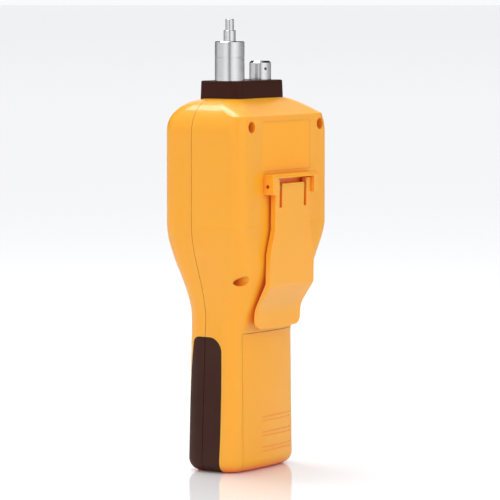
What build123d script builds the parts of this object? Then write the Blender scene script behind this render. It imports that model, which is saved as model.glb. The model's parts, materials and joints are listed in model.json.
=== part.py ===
"""Portable pumped gas detector: hand-held casing, belt clip, gas fittings and what is inside.

Frame: millimetres, +Z up, the display faces -Y, the belt clip faces +Y.
Origin: centre of the flat base that the detector stands on.
"""
from build123d import *
from math import asin, cos, radians, sin
import os

os.makedirs("parts", exist_ok=True)

# ---------------------------------------------------------------- driving dimensions
# casing, outside
HEAD_HALF_WIDTH = 35.0
HEAD_FRONT = -19.9
HEAD_BACK = 22.8
HEAD_FRONT_RADIUS = 9.0
HEAD_BACK_RADIUS = 6.0
GRIP_HALF_WIDTH = 24.3
GRIP_FRONT = -14.3
GRIP_BACK = 11.8
GRIP_CROWN = 2.4          # how far the middle of the grip's back stands out
GRIP_RADIUS = 9.0
BASE_FLARE = 1.0          # the grip widens by this much towards its base
BASE_ROUND = 5.5
TAPER_LOW = 66.0          # the sides and front swell from the grip to the head between these
TAPER_HIGH = 108.0
BACK_TAPER_LOW = 58.0     # the back swells lower and sooner
BACK_TAPER_HIGH = 92.0
TAPER_CORNER = 5.5        # the back corners are rounder by this half way up the taper
TOP = 161.5
SHOULDER_ROUND = 15.0
FRONT_SHOULDER_ROUND = 12.0
BACK_SLOPE_START = 11.0   # the top slopes down from here to the back
BACK_SLOPE_DROP = 7.0
TOP_BACK_RADIUS = 8.0     # the back corners grow to this at the top

# casing, walls and joint
WALL = 2.2
SKIN = 1.2                # depth of inlaid pads and panels
SEAM = -2.7               # depth of the joint between the front and the rear shell
SEAM_AT_BASE = -4.3       # it leans forward in the grip
SEAM_BEND = 68.0
SEAM_GAP = 0.25
GASKET_HALF = 0.6

# shell screws: places across and up, and depths of their seats
UPPER_POST = (26.6, 149.9)
LOWER_POST = (25.1, 84.0)
POST_RADIUS = 4.0
UPPER_HOLE_RADIUS = 2.45
LOWER_HOLE_RADIUS = 2.15
UPPER_SEAT = 12.0
LOWER_SEAT = 9.0
SCREW_RADIUS = 1.25
SCREW_CLEARANCE = 1.5
SCREW_HEAD_RADIUS = 2.1
SCREW_HEAD = 1.6
SCREW_END = -10.5

# top cap and gas fittings
CAP_HALF_WIDTH = 18.6
CAP_FRONT = -11.2
CAP_BACK = 10.6
CAP_RADIUS = 4.0
CAP_SEAT = 161.0
CAP_TOP = 169.1
ALARM_Z = 165.0
ALARM_WIDTH = 14.0
ALARM_HEIGHT = 3.6
ALARM_GAP = 0.1
FITTING_X = 11.8
FITTING_Y = 1.3
SPIGOT_RADIUS = 2.0
SPIGOT_BORE = 1.2
SPIGOT_END = 154.0
INLET_RADIUS = 6.4
INLET_JOINT = 179.0
INLET_TOP = 186.1
INLET_ROOF = 1.6
INLET_BORE = 5.2
INLET_SKIRT_RADIUS = 5.1  # the cap's skirt goes down inside the base
INLET_SKIRT_END = 172.2
FILTER_RADIUS = 4.2
NOZZLE_RADIUS = 2.62
NOZZLE_STEP = 190.8
NOZZLE_TIP_RADIUS = 1.82
NOZZLE_TOP = 195.6
NOZZLE_BORE = 0.9
OUTLET_RADIUS = 4.75
OUTLET_TOP = 177.3
OUTLET_VENT_ANGLE = 63.0
OUTLET_VENT_HEIGHT = 173.9
OUTLET_VENT_RADIUS = 0.6
SEAL_WIDTH = 1.6

# belt clip
PIN_Y = 24.9
PIN_Z = 124.3
PIN_RADIUS = 0.8
PIN_HALF_LENGTH = 15.2    # its ends are sunk in the ears
PIN_FIT = 0.05
EAR_INNER = 14.0
EAR_OUTER = 17.6
EAR_BACK = 28.1
EAR_LOW = 120.8
BAR_LOW = 127.8
BAR_HIGH = 129.6
CLIP_THICK = 2.4
CLIP_OUTER = 26.45
CLIP_TOP = 127.1
CLIP_TOP_HALF = 13.6
CLIP_HALF = 17.0
CLIP_FLARE_HIGH = 105.5
CLIP_FLARE_LOW = 95.0
CLIP_LEAN = 0.6           # the plate leans in by this at the bend
CLIP_BEND = 81.4
CLIP_LIP = 71.3
CLIP_LIP_OUTER = 19.0
CLIP_LIP_THICK = 1.3
CLIP_END = 63.0
KNUCKLE_RADIUS = 1.55
TONGUE_HALF = 8.5
RAIL_INNER = 10.5
SLOT_END = 115.1
WINDOW_LOW = 125.3
SPRING_WIRE = 0.22
SPRING_PITCH = 0.5
SPRING_TURNS = 2
SPRING_COIL = 1.1
SPRING_LEG = 2.4

# battery door, pads and label
DOOR_HALF = 18.7
DOOR_TOP = 60.4
DOOR_FLOOR_START = 5.0
DOOR_GAP = 0.2
RIB_HEIGHTS = (22.6, 16.0, 9.4)
RIB_START = 6.0
RIB_END = -17.4
RIB_WIDTH = 1.7
RIB_GROOVE = 0.5
RIB_DEPTH = 0.22
LATCH_WIDTH = 11.0
LATCH_FACE = 10.6
LATCH_THICK = 1.4
FOAM_FACE = 10.6
FOAM_THICK = 2.4
PAD_FRONT = (-13.4, -12.7, -9.2)   # front edge at the base, half way and at the top
PAD_BACK = (4.6, 5.6, 5.4)         # rear edge at the same places
PAD_MIDDLE = 30.0
PAD_TOP = 58.9
PAD_INNER_X = 21.4
LABEL_HALF = 18.6
LABEL_LOW = 130.9
LABEL_HIGH = 151.8
LABEL_THICK = 0.35
LABEL_SUNK = 0.05

# display and keys
LENS_HALF = 23.5
LENS_LOW = 110.5
LENS_HIGH = 148.5
BEZEL_BORDER = 2.0
BEZEL_PROUD = 0.5
BEZEL_RADIUS = 5.0
LENS_RADIUS = 3.5
WINDOW_HALF = 20.5
WINDOW_BOTTOM = 113.8
WINDOW_TOP = 145.2
KEY_PANEL_HALF = 14.4
KEY_PANEL_LOW = 34.5
KEY_PANEL_HIGH = 65.5
KEY_FACE = -15.7
KEY_FLANGE_FRONT = -12.0
KEY_FLANGE_BACK = -11.5
KEY_GAP = 0.25
KEY_CENTRE = 50.0

# boards
BOARD_FRONT = -10.0
BOARD_BACK = -8.4
BOARD_HOLES = [(25.0, 141.0), (-25.0, 141.0), (13.0, 70.0), (-13.0, 70.0)]
BOARD_SCREW_RADIUS = 1.0
BOARD_SCREW_END = -12.7
BOSS_RADIUS = 2.2

# charging port
PORT_Z = 123.0
PORT_HALF_WIDTH = 4.6
PORT_FRONT = -8.4
PORT_BACK = -5.2
FLAP_FRONT = -10.4
FLAP_BACK = -4.0
FLAP_HALF_HEIGHT = 6.5
FLAP_THICK = 1.1

# sensors, manifold and pump
SENSOR_RADIUS = 10.0
SENSOR_BACK = 12.0
SENSOR_PLACES = [(x, z) for x in (-4.5, 17.5) for z in (115.5, 136.5)]
SENSOR_BOARD_FRONT = -3.6
SENSOR_BOARD_BACK = -2.0
SENSOR_MIDDLE = 6.5
MANIFOLD_LOW = 104.9
MANIFOLD_BACK = 17.6
MANIFOLD_TOP = 145.5
MANIFOLD_Y = 14.8
PUMP_X = -24.0
PUMP_Y = 10.0
PUMP_LOW = 121.0
PUMP_HIGH = 135.0
PUMP_HALF = 6.9
MOTOR_RADIUS = 6.2
MOTOR_LOW = 101.0
NIPPLE_RADIUS = 1.4
NIPPLE_BORE = 0.8
TUBE_RADIUS = 2.1
TUBE_BORE = 1.4
PUMP_PORT_X = -19.4
PUMP_SUCTION_Y = 13.6
PUMP_EXHAUST_Y = 6.4
PUMP_CHAMBER_RADIUS = 5.4
PUMP_CHAMBER_HEIGHT = 8.6
DIAPHRAGM_LIFT = 7.4
DIAPHRAGM_THICK = 0.8
SHAFT_RADIUS = 1.0
ECCENTRIC_RADIUS = 3.6
ECCENTRIC_THROW = 1.0
SUCTION_X = -11.0

# battery
TRAY_HALF = 18.6
TRAY_FRONT = -4.6
TRAY_BACK = 8.0
TRAY_LOW = 3.0
TRAY_HIGH = 61.5
TRAY_WALL = 1.2
PACK_HALF = 17.0
PACK_FRONT = -3.2
PACK_BACK = 7.4
PACK_LOW = 5.0
PACK_HIGH = 55.0

# sounder and vibrator
BUZZER_Z = 20.0
BUZZER_RADIUS = 6.5
BUZZER_FRONT = -12.6
BUZZER_BACK = -8.4
SOUND_SLOT = (9.0, 1.3)
SOUND_SLOT_PITCH = 3.2
VIBRATOR_Y = -8.3
VIBRATOR_Z = 8.6
VIBRATOR_RADIUS = 3.5
VIBRATOR_START = -6.0
VIBRATOR_LENGTH = 13.0
VIBRATOR_SHAFT = 0.5
WEIGHT_RADIUS = 3.2
WEIGHT_START = 7.6
WEIGHT_LENGTH = 3.4


# ---------------------------------------------------------------- shared shapes
def save(piece, name):
    """Label a finished piece and write it to its own file."""
    piece.part.label = name
    export_step(piece.part, f"parts/{name}.step")


def ease(z, low, high):
    """A smooth step from 0 at low to 1 at high."""
    t = min(max((z - low) / (high - low), 0.0), 1.0)
    return t * t * (3 - 2 * t)


def blend(start, end, share):
    return start + (end - start) * share


def casing_section(z, inset):
    """The casing's outline at height z, drawn in by inset all round."""
    side = ease(z, TAPER_LOW, TAPER_HIGH)
    rear = ease(z, BACK_TAPER_LOW, BACK_TAPER_HIGH)
    flare = BASE_FLARE * max(1 - z / TAPER_LOW, 0.0)
    half = blend(GRIP_HALF_WIDTH, HEAD_HALF_WIDTH, side) + flare - inset
    front = blend(GRIP_FRONT, HEAD_FRONT, side) - flare + inset
    back = blend(GRIP_BACK, HEAD_BACK, rear) + 0.3 * flare - inset
    crown = blend(GRIP_CROWN, 0.0, rear)
    front_radius = blend(GRIP_RADIUS, HEAD_FRONT_RADIUS, side) - inset
    back_radius = blend(GRIP_RADIUS, HEAD_BACK_RADIUS, side) + TAPER_CORNER * 4 * side * (1 - side) - inset
    return rounded_section(z, half, front, back, crown, front_radius, back_radius)


def rounded_section(z, half, front, back, crown, front_radius, back_radius):
    """A rounded rectangle at height z whose back may bow out by crown."""
    with BuildSketch(Plane.XY.offset(z)) as section:
        with BuildLine():
            Polyline((-half, back), (-half, front), (half, front), (half, back))
            if crown > 0:
                ThreePointArc((half, back), (0, back + crown), (-half, back))
            else:
                Line((half, back), (-half, back))
        make_face()
        fillet(section.vertices().group_by(Axis.Y)[0], front_radius)
        fillet(section.vertices().group_by(Axis.Y)[-1], back_radius)
    return section.sketch


def shoulder_section(rise, inset):
    """The head's outline where its shoulders round over: rise runs from 0 to 1 at the flat top."""
    side_round = SHOULDER_ROUND - inset
    front_round = FRONT_SHOULDER_ROUND - inset
    z = TOP - SHOULDER_ROUND + side_round * rise
    above_front = max(z - (TOP - FRONT_SHOULDER_ROUND), 0.0)
    side_step = side_round - (side_round ** 2 - (side_round * rise) ** 2) ** 0.5
    front_step = front_round - max(front_round ** 2 - above_front ** 2, 0.0) ** 0.5
    slope = (HEAD_BACK - BACK_SLOPE_START) / BACK_SLOPE_DROP
    below_slope = max(z + inset - (TOP - BACK_SLOPE_DROP), 0.0)
    half = HEAD_HALF_WIDTH - inset - side_step
    front = HEAD_FRONT + inset + front_step
    back = HEAD_BACK - inset - below_slope * slope * (1 - inset / HEAD_BACK)
    back_radius = blend(HEAD_BACK_RADIUS, TOP_BACK_RADIUS, rise) - inset
    return rounded_section(z, half, front, back, 0.0, HEAD_FRONT_RADIUS - inset, back_radius)


def casing_solid(inset):
    """The whole casing as one solid, drawn in by inset all round."""
    grip_levels = [inset, 20.0, 40.0, BACK_TAPER_LOW]
    steps = 14
    taper_levels = [blend(BACK_TAPER_LOW, TAPER_HIGH, n / steps) for n in range(steps + 1)]
    side_round = SHOULDER_ROUND - inset
    brow = (SHOULDER_ROUND - BACK_SLOPE_DROP - inset) / side_round
    low_rises = [brow * n / 4 for n in range(5)]
    high_rises = [sin(blend(asin(brow), radians(90), n / 6)) for n in range(7)]
    with BuildPart() as casing:
        loft([casing_section(z, inset) for z in grip_levels])
        loft([casing_section(z, inset) for z in taper_levels])
        extrude(casing_section(TAPER_HIGH, inset), amount=TOP - SHOULDER_ROUND - TAPER_HIGH)
        loft([shoulder_section(rise, inset) for rise in low_rises])
        loft([shoulder_section(rise, inset) for rise in high_rises])
        # rounded edge all round the base
        fillet(casing.faces().sort_by(Axis.Z)[0].edges(), BASE_ROUND - inset)
    return casing.part


def tube(points, radius, bore, bend):
    """A round hose through the points, with its bends as arcs."""
    with BuildPart() as hose:
        with BuildLine() as path:
            FilletPolyline(*points, radius=bend)
        start = Plane(origin=path.line @ 0, z_dir=path.line % 0)
        with BuildSketch(start):
            Circle(radius)
            Circle(bore, mode=Mode.SUBTRACT)
        sweep()
    return hose


def across(y):
    """The plane facing the front at depth y: its x is X, its y is Z."""
    return Plane.XZ.offset(-y)


# ---------------------------------------------------------------- casing
outer = casing_solid(0.0)
under_skin = casing_solid(SKIN)
hollow = casing_solid(WALL)
all_posts = [(side * x, z) for (x, z) in (UPPER_POST, LOWER_POST) for side in (-1, 1)]

# the hollow inside the casing, less the screw posts and the board's bosses
with BuildPart() as cavity:
    add(hollow)
    with BuildSketch(across(HEAD_BACK)):
        with Locations(*all_posts):
            Circle(POST_RADIUS)
    extrude(amount=HEAD_BACK - HEAD_FRONT, mode=Mode.SUBTRACT)
    with BuildSketch(across(BOARD_FRONT)):
        with Locations(*BOARD_HOLES):
            Circle(BOSS_RADIUS)
    extrude(amount=BOARD_FRONT - HEAD_FRONT, mode=Mode.SUBTRACT)


def beside_seam(offset, far):
    """Everything from the joint, moved by offset, to the depth far."""
    with BuildPart() as region:
        with BuildSketch(Plane.YZ):
            with BuildLine():
                Polyline((SEAM_AT_BASE + offset, 0), (SEAM + offset, SEAM_BEND), (SEAM + offset, TOP * 2),
                         (far, TOP * 2), (far, -TOP), (SEAM_AT_BASE + offset, -TOP), close=True)
            make_face()
        extrude(amount=HEAD_HALF_WIDTH * 2, both=True)
    return region.part


front_side = beside_seam(-SEAM_GAP / 2, -TOP)
rear_side = beside_seam(SEAM_GAP / 2, TOP)

# soft seal in a groove along the seam
with BuildPart() as seam_gasket:
    add(under_skin)
    add(hollow, mode=Mode.SUBTRACT)
    add(beside_seam(-GASKET_HALF, TOP), mode=Mode.INTERSECT)
    add(beside_seam(GASKET_HALF, -TOP), mode=Mode.INTERSECT)


def pad_outline():
    """Side view of a grip pad: bowed edges and a rounded top."""
    with BuildSketch(Plane.YZ.offset(PAD_INNER_X)) as outline:
        with BuildLine():
            front_low, front_middle, front_high = PAD_FRONT
            back_low, back_middle, back_high = PAD_BACK
            ThreePointArc((front_low, -1), (front_middle, PAD_MIDDLE), (front_high, PAD_TOP))
            Line((front_high, PAD_TOP), (back_high, PAD_TOP))
            ThreePointArc((back_high, PAD_TOP), (back_middle, PAD_MIDDLE), (back_low, -1))
            Line((back_low, -1), (front_low, -1))
        make_face()
        top_corners = outline.vertices().group_by(Axis.Y)[-1].sort_by(Axis.X)
        fillet(top_corners[0], 3.6)
        fillet(outline.vertices().group_by(Axis.Y)[-1].sort_by(Axis.X)[-1], 6.4)
    return outline.sketch


def pad_pocket(side, shell_side):
    """The room for a grip pad in one shell, open outwards, on the side given by +1 or -1."""
    with BuildPart() as pocket:
        extrude(pad_outline(), amount=HEAD_HALF_WIDTH)
        add(shell_side, mode=Mode.INTERSECT)
        add(under_skin, mode=Mode.SUBTRACT)
    if side > 0:
        return pocket.part
    return mirror(pocket.part, about=Plane.YZ)


front_pockets = {side: pad_pocket(side, front_side) for side in (-1, 1)}
rear_pockets = {side: pad_pocket(side, rear_side) for side in (-1, 1)}


def inlay(pocket):
    """A piece that fills its pocket flush with the casing's surface."""
    with BuildPart() as piece:
        add(outer)
        add(pocket, mode=Mode.INTERSECT)
    return piece


grip_pad_front_left = inlay(front_pockets[-1])
grip_pad_front_right = inlay(front_pockets[1])
grip_pad_rear_left = inlay(rear_pockets[-1])
grip_pad_rear_right = inlay(rear_pockets[1])


def rounded_plate(plane, low, high, half_width, radius, depth):
    """A plate with rounded corners, extruded by depth along the plane's normal."""
    with BuildPart() as plate:
        with BuildSketch(plane):
            with Locations((0, (low + high) / 2)):
                RectangleRounded(half_width * 2, high - low, radius)
        extrude(amount=depth)
    return plate


# room for the dark panel around the keys, inlaid in the front of the grip
with BuildPart() as panel_pocket:
    add(rounded_plate(across(GRIP_FRONT + 5), KEY_PANEL_LOW, KEY_PANEL_HIGH, KEY_PANEL_HALF, 6.0, 12).part)
    add(under_skin, mode=Mode.SUBTRACT)

# window opening, lens and the frame round it
bezel_low = LENS_LOW - BEZEL_BORDER / 2
bezel_high = LENS_HIGH + BEZEL_BORDER / 2
bezel_half = LENS_HALF + BEZEL_BORDER

with BuildPart() as display_bezel:
    add(rounded_plate(across(HEAD_FRONT + SKIN), bezel_low, bezel_high, bezel_half, BEZEL_RADIUS,
                      SKIN + BEZEL_PROUD).part)
    front_face = display_bezel.faces().sort_by(Axis.Y)[0]
    chamfer(front_face.edges(), 0.4)
    with BuildSketch(across(HEAD_FRONT + SKIN)):
        with Locations((0, (LENS_LOW + LENS_HIGH) / 2)):
            RectangleRounded(LENS_HALF * 2, LENS_HIGH - LENS_LOW, LENS_RADIUS)
    extrude(amount=SKIN + BEZEL_PROUD, mode=Mode.SUBTRACT)

with BuildPart() as display_lens:
    add(rounded_plate(across(HEAD_FRONT + SKIN), LENS_LOW, LENS_HIGH, LENS_HALF, LENS_RADIUS,
                      SKIN + 0.2).part)

key_shapes = {
    "power_key": (0.0, KEY_CENTRE, 9.4, 9.4, 4.6),
    "up_key": (0.0, KEY_CENTRE + 10.2, 10.0, 5.4, 2.6),
    "down_key": (0.0, KEY_CENTRE - 10.2, 10.0, 5.4, 2.6),
    "left_key": (-9.6, KEY_CENTRE, 5.4, 9.0, 2.6),
    "right_key": (9.6, KEY_CENTRE, 5.4, 9.0, 2.6),
}


def key_prism(shape, grow, start, end):
    """A key's outline grown by grow, from depth start forwards to depth end."""
    x, z, width, height, radius = shape
    with BuildPart() as prism:
        with BuildSketch(across(start)):
            with Locations((x, z)):
                RectangleRounded(width + 2 * grow, height + 2 * grow, radius + grow)
        extrude(amount=start - end)
    return prism


key_holes = [key_prism(shape, KEY_GAP, KEY_FLANGE_BACK, KEY_FACE - 4).part for shape in key_shapes.values()]
with BuildPart() as key_panel:
    add(inlay(panel_pocket.part).part)
    for hole in key_holes:
        add(hole, mode=Mode.SUBTRACT)

# charging port opening and the seat of its flap, on the outlet's side
with BuildPart() as flap_seat:
    with BuildSketch(Plane.YZ.offset(-HEAD_HALF_WIDTH - 1)):
        with Locations(((FLAP_FRONT + FLAP_BACK) / 2, PORT_Z)):
            RectangleRounded(FLAP_BACK - FLAP_FRONT + 0.4, FLAP_HALF_HEIGHT * 2 + 0.4, 1.4)
    extrude(amount=FLAP_THICK + 1.1)
    with BuildSketch(Plane.YZ.offset(-HEAD_HALF_WIDTH)):
        with Locations(((PORT_FRONT + PORT_BACK) / 2, PORT_Z)):
            RectangleRounded(PORT_BACK - PORT_FRONT + 0.5, PORT_HALF_WIDTH * 2 + 0.5, 1.2)
    extrude(amount=WALL + 2)

# seat of the cap in the top of both shells
with BuildPart() as cap_pocket:
    with BuildSketch(Plane.XY.offset(CAP_SEAT)):
        with Locations((0, (CAP_FRONT + CAP_BACK) / 2)):
            RectangleRounded(CAP_HALF_WIDTH * 2, CAP_BACK - CAP_FRONT, CAP_RADIUS)
    extrude(amount=TOP)

with BuildPart() as front_shell:
    add(outer)
    add(cavity.part, mode=Mode.SUBTRACT)
    add(front_side, mode=Mode.INTERSECT)
    add(seam_gasket.part, mode=Mode.SUBTRACT)
    add(cap_pocket.part, mode=Mode.SUBTRACT)
    add(panel_pocket.part, mode=Mode.SUBTRACT)
    for pocket in front_pockets.values():
        add(pocket, mode=Mode.SUBTRACT)
    for hole in key_holes:
        add(hole, mode=Mode.SUBTRACT)
    add(flap_seat.part, mode=Mode.SUBTRACT)
    add(rounded_plate(across(HEAD_FRONT + SKIN), bezel_low, bezel_high, bezel_half, BEZEL_RADIUS, 5).part,
        mode=Mode.SUBTRACT)
    add(rounded_plate(across(HEAD_FRONT + 5), WINDOW_BOTTOM, WINDOW_TOP, WINDOW_HALF, 1.5, 10).part,
        mode=Mode.SUBTRACT)
    # sound slots
    with BuildSketch(across(GRIP_FRONT + 5)):
        with GridLocations(1, SOUND_SLOT_PITCH, 1, 3):
            with Locations((0, BUZZER_Z)):
                SlotOverall(*SOUND_SLOT)
    extrude(amount=10, mode=Mode.SUBTRACT)
    # fitting holes through the top
    with BuildSketch(Plane.XY.offset(TOP - 5)):
        with Locations((FITTING_X, FITTING_Y), (-FITTING_X, FITTING_Y)):
            Circle(SPIGOT_RADIUS + 0.3)
    extrude(amount=10, mode=Mode.SUBTRACT)
    # screw holes in the posts
    with BuildSketch(across(0)):
        with Locations(*all_posts):
            Circle(SCREW_RADIUS)
    extrude(amount=-SCREW_END, mode=Mode.SUBTRACT)
    with BuildSketch(across(BOARD_FRONT)):
        with Locations(*BOARD_HOLES):
            Circle(BOARD_SCREW_RADIUS)
    extrude(amount=BOARD_FRONT - BOARD_SCREW_END, mode=Mode.SUBTRACT)

# hinge block for the clip: two ears and a bar over them
with BuildPart() as hinge_block:
    with BuildSketch(across(HEAD_BACK - 1)):
        for side in (-1, 1):
            with Locations((side * (EAR_INNER + EAR_OUTER) / 2, (EAR_LOW + BAR_HIGH) / 2)):
                Rectangle(EAR_OUTER - EAR_INNER, BAR_HIGH - EAR_LOW)
        with Locations((0, (BAR_LOW + BAR_HIGH) / 2)):
            Rectangle(EAR_OUTER * 2, BAR_HIGH - BAR_LOW)
    extrude(amount=-(EAR_BACK - HEAD_BACK + 1))
    top_edge = hinge_block.edges().filter_by(Axis.X).group_by(Axis.Y)[-1].sort_by(Axis.Z)[-1]
    fillet(top_edge, 1.3)
    ear_faces = hinge_block.faces().sort_by(Axis.X)
    outside = ear_faces[-1].edges() + ear_faces[0].edges()
    fillet(outside.filter_by(Axis.Z).group_by(Axis.Y)[-1], 0.5)
    with BuildSketch(Plane.YZ.offset(-EAR_OUTER - 1)):
        with Locations((PIN_Y, PIN_Z)):
            Circle(PIN_RADIUS)
    extrude(amount=EAR_OUTER * 2 + 2, mode=Mode.SUBTRACT)

# opening in the back and base that the battery door closes
with BuildPart() as door_opening:
    with BuildSketch(across(DOOR_FLOOR_START - DOOR_GAP)):
        with Locations((0, DOOR_TOP / 2)):
            Rectangle((DOOR_HALF + DOOR_GAP) * 2, DOOR_TOP + 2 * DOOR_GAP)
        with Locations((0, -5)):
            Rectangle((DOOR_HALF + DOOR_GAP) * 2, 20)
    extrude(amount=-30)

with BuildPart() as rear_shell:
    add(outer)
    add(cavity.part, mode=Mode.SUBTRACT)
    add(rear_side, mode=Mode.INTERSECT)
    add(hinge_block.part)
    add(seam_gasket.part, mode=Mode.SUBTRACT)
    add(cap_pocket.part, mode=Mode.SUBTRACT)
    for pocket in rear_pockets.values():
        add(pocket, mode=Mode.SUBTRACT)
    add(door_opening.part, mode=Mode.SUBTRACT)
    label_seat = HEAD_BACK - LABEL_THICK + 0.1
    label_room = rounded_plate(across(label_seat), LABEL_LOW, LABEL_HIGH, LABEL_HALF, 1.0, -5)
    add(label_room.part, mode=Mode.SUBTRACT)
    with BuildSketch(Plane.XY.offset(TOP - 5)):
        with Locations((FITTING_X, FITTING_Y), (-FITTING_X, FITTING_Y)):
            Circle(SPIGOT_RADIUS + 0.3)
    extrude(amount=10, mode=Mode.SUBTRACT)
    upper_screws = (UPPER_POST, UPPER_SEAT, UPPER_HOLE_RADIUS)
    lower_screws = (LOWER_POST, LOWER_SEAT, LOWER_HOLE_RADIUS)
    for (x, z), seat, hole in (upper_screws, lower_screws):
        with BuildSketch(across(seat)):
            with Locations((x, z), (-x, z)):
                Circle(hole)
        extrude(amount=-30, mode=Mode.SUBTRACT)
        with BuildSketch(across(seat)):
            with Locations((x, z), (-x, z)):
                Circle(SCREW_CLEARANCE)
        extrude(amount=30, mode=Mode.SUBTRACT)

# finger ribs: pairs of shallow grooves that follow the door's curve
with BuildPart() as rib_grooves:
    with BuildSketch(across(GRIP_BACK - 3)):
        for z in RIB_HEIGHTS:
            for edge in (-RIB_WIDTH / 2, RIB_WIDTH / 2):
                with Locations(((RIB_START + RIB_END) / 2, z + edge)):
                    Rectangle(RIB_START - RIB_END, RIB_GROOVE)
    extrude(amount=-10)
    add(casing_solid(RIB_DEPTH), mode=Mode.SUBTRACT)

with BuildPart() as battery_door:
    add(outer)
    add(hollow, mode=Mode.SUBTRACT)
    with BuildSketch(across(DOOR_FLOOR_START)):
        with Locations((0, DOOR_TOP / 2)):
            Rectangle(DOOR_HALF * 2, DOOR_TOP)
    extrude(amount=-30, mode=Mode.INTERSECT)
    # latch tongue that goes up behind the shell
    with BuildSketch(across(LATCH_FACE)):
        with Locations((0, DOOR_TOP)):
            Rectangle(LATCH_WIDTH, 5)
    extrude(amount=LATCH_THICK)
    with BuildSketch(across(GRIP_BACK + 0.6)):
        with Locations((0, DOOR_TOP - 2)):
            Rectangle(LATCH_WIDTH, 2.4)
    extrude(amount=GRIP_BACK + 0.6 - LATCH_FACE + LATCH_THICK)
    add(rib_grooves.part, mode=Mode.SUBTRACT)

with BuildPart() as rating_label:
    label_face = across(HEAD_BACK - LABEL_SUNK)
    add(rounded_plate(label_face, LABEL_LOW + 0.1, LABEL_HIGH - 0.1, LABEL_HALF - 0.1, 0.9,
                      LABEL_THICK - 0.15).part)

# ---------------------------------------------------------------- belt clip
with BuildPart() as belt_clip:
    bend_outer = CLIP_OUTER - CLIP_LEAN
    bend_inner = bend_outer - CLIP_THICK
    lip_inner = CLIP_LIP_OUTER - CLIP_LIP_THICK
    with BuildSketch(Plane.YZ) as clip_side:
        with BuildLine():
            Polyline((CLIP_OUTER, CLIP_TOP), (bend_outer, CLIP_BEND), (CLIP_LIP_OUTER, CLIP_LIP),
                     (CLIP_LIP_OUTER - 0.3, CLIP_END - 2), (lip_inner - 0.3, CLIP_END - 2),
                     (lip_inner, CLIP_LIP - 0.5), (bend_inner, CLIP_BEND + 1),
                     (CLIP_OUTER - CLIP_THICK, CLIP_TOP), close=True)
        make_face()
        upper_bends = clip_side.vertices().filter_by_position(Axis.Y, CLIP_BEND - 0.5, CLIP_BEND + 1.5)
        fillet(upper_bends, 3.5)
        lower_bends = clip_side.vertices().filter_by_position(Axis.Y, CLIP_LIP - 1, CLIP_LIP + 0.5)
        fillet(lower_bends, 11.0)
    extrude(amount=CLIP_HALF, both=True)
    with BuildSketch(Plane.XZ):
        with BuildLine():
            Polyline((CLIP_TOP_HALF, TOP), (CLIP_TOP_HALF, CLIP_FLARE_HIGH), (CLIP_HALF, CLIP_FLARE_LOW),
                     (CLIP_HALF, CLIP_END))
            ThreePointArc((CLIP_HALF, CLIP_END), (0, CLIP_END - 0.8), (-CLIP_HALF, CLIP_END))
            Polyline((-CLIP_HALF, CLIP_END), (-CLIP_HALF, CLIP_FLARE_LOW), (-CLIP_TOP_HALF, CLIP_FLARE_HIGH),
                     (-CLIP_TOP_HALF, TOP), (CLIP_TOP_HALF, TOP))
        clip_face = make_face()
        fillet(clip_face.vertices().group_by(Axis.Y)[0], 3.5)
    extrude(amount=HEAD_HALF_WIDTH, both=True, mode=Mode.INTERSECT)
    # knuckles round the hinge pin
    with BuildSketch(Plane.YZ.offset(-CLIP_TOP_HALF)):
        with Locations((PIN_Y, PIN_Z)):
            Circle(KNUCKLE_RADIUS)
    extrude(amount=CLIP_TOP_HALF * 2)
    # window over the tongue, and the slots on each side of it
    with BuildSketch(across(HEAD_BACK)):
        with Locations((0, (WINDOW_LOW + TOP) / 2)):
            Rectangle(RAIL_INNER * 2, TOP - WINDOW_LOW)
        for side in (-1, 1):
            with Locations((side * (TONGUE_HALF + RAIL_INNER) / 2, (SLOT_END + TOP) / 2)):
                Rectangle(RAIL_INNER - TONGUE_HALF, TOP - SLOT_END)
    extrude(amount=-10, mode=Mode.SUBTRACT)
    with BuildSketch(Plane.YZ.offset(-CLIP_TOP_HALF - 1)):
        with Locations((PIN_Y, PIN_Z)):
            Circle(PIN_RADIUS + PIN_FIT)
    extrude(amount=CLIP_TOP_HALF * 2 + 2, mode=Mode.SUBTRACT)

with BuildPart() as clip_pin:
    with BuildSketch(Plane.YZ.offset(-PIN_HALF_LENGTH)):
        with Locations((PIN_Y, PIN_Z)):
            Circle(PIN_RADIUS)
    extrude(amount=PIN_HALF_LENGTH * 2)
    chamfer(clip_pin.edges().filter_by(GeomType.CIRCLE), 0.15)


def torsion_spring(start_x):
    """A small coil round the pin with one leg on the casing and one in the clip."""
    height = SPRING_PITCH * SPRING_TURNS
    with BuildPart() as spring:
        with BuildLine() as coil:
            Helix(pitch=SPRING_PITCH, height=height, radius=SPRING_COIL, center=(start_x, PIN_Y, PIN_Z),
                  direction=(1, 0, 0))
        with BuildSketch(Plane(origin=coil.line @ 0, z_dir=coil.line % 0)):
            Circle(SPRING_WIRE)
        sweep(is_frenet=True)
        for x, leg_side in ((start_x, -1), (start_x + height, 1)):
            with BuildSketch(Plane.XY.offset(PIN_Z)):
                with Locations((x, PIN_Y + leg_side * SPRING_COIL)):
                    Circle(SPRING_WIRE)
            extrude(amount=-SPRING_LEG)
    return spring


with BuildPart() as clip_springs:
    slack = (RAIL_INNER - TONGUE_HALF - SPRING_PITCH * SPRING_TURNS) / 2
    add(torsion_spring(TONGUE_HALF + slack).part)
    add(torsion_spring(-RAIL_INNER + slack).part)

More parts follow.
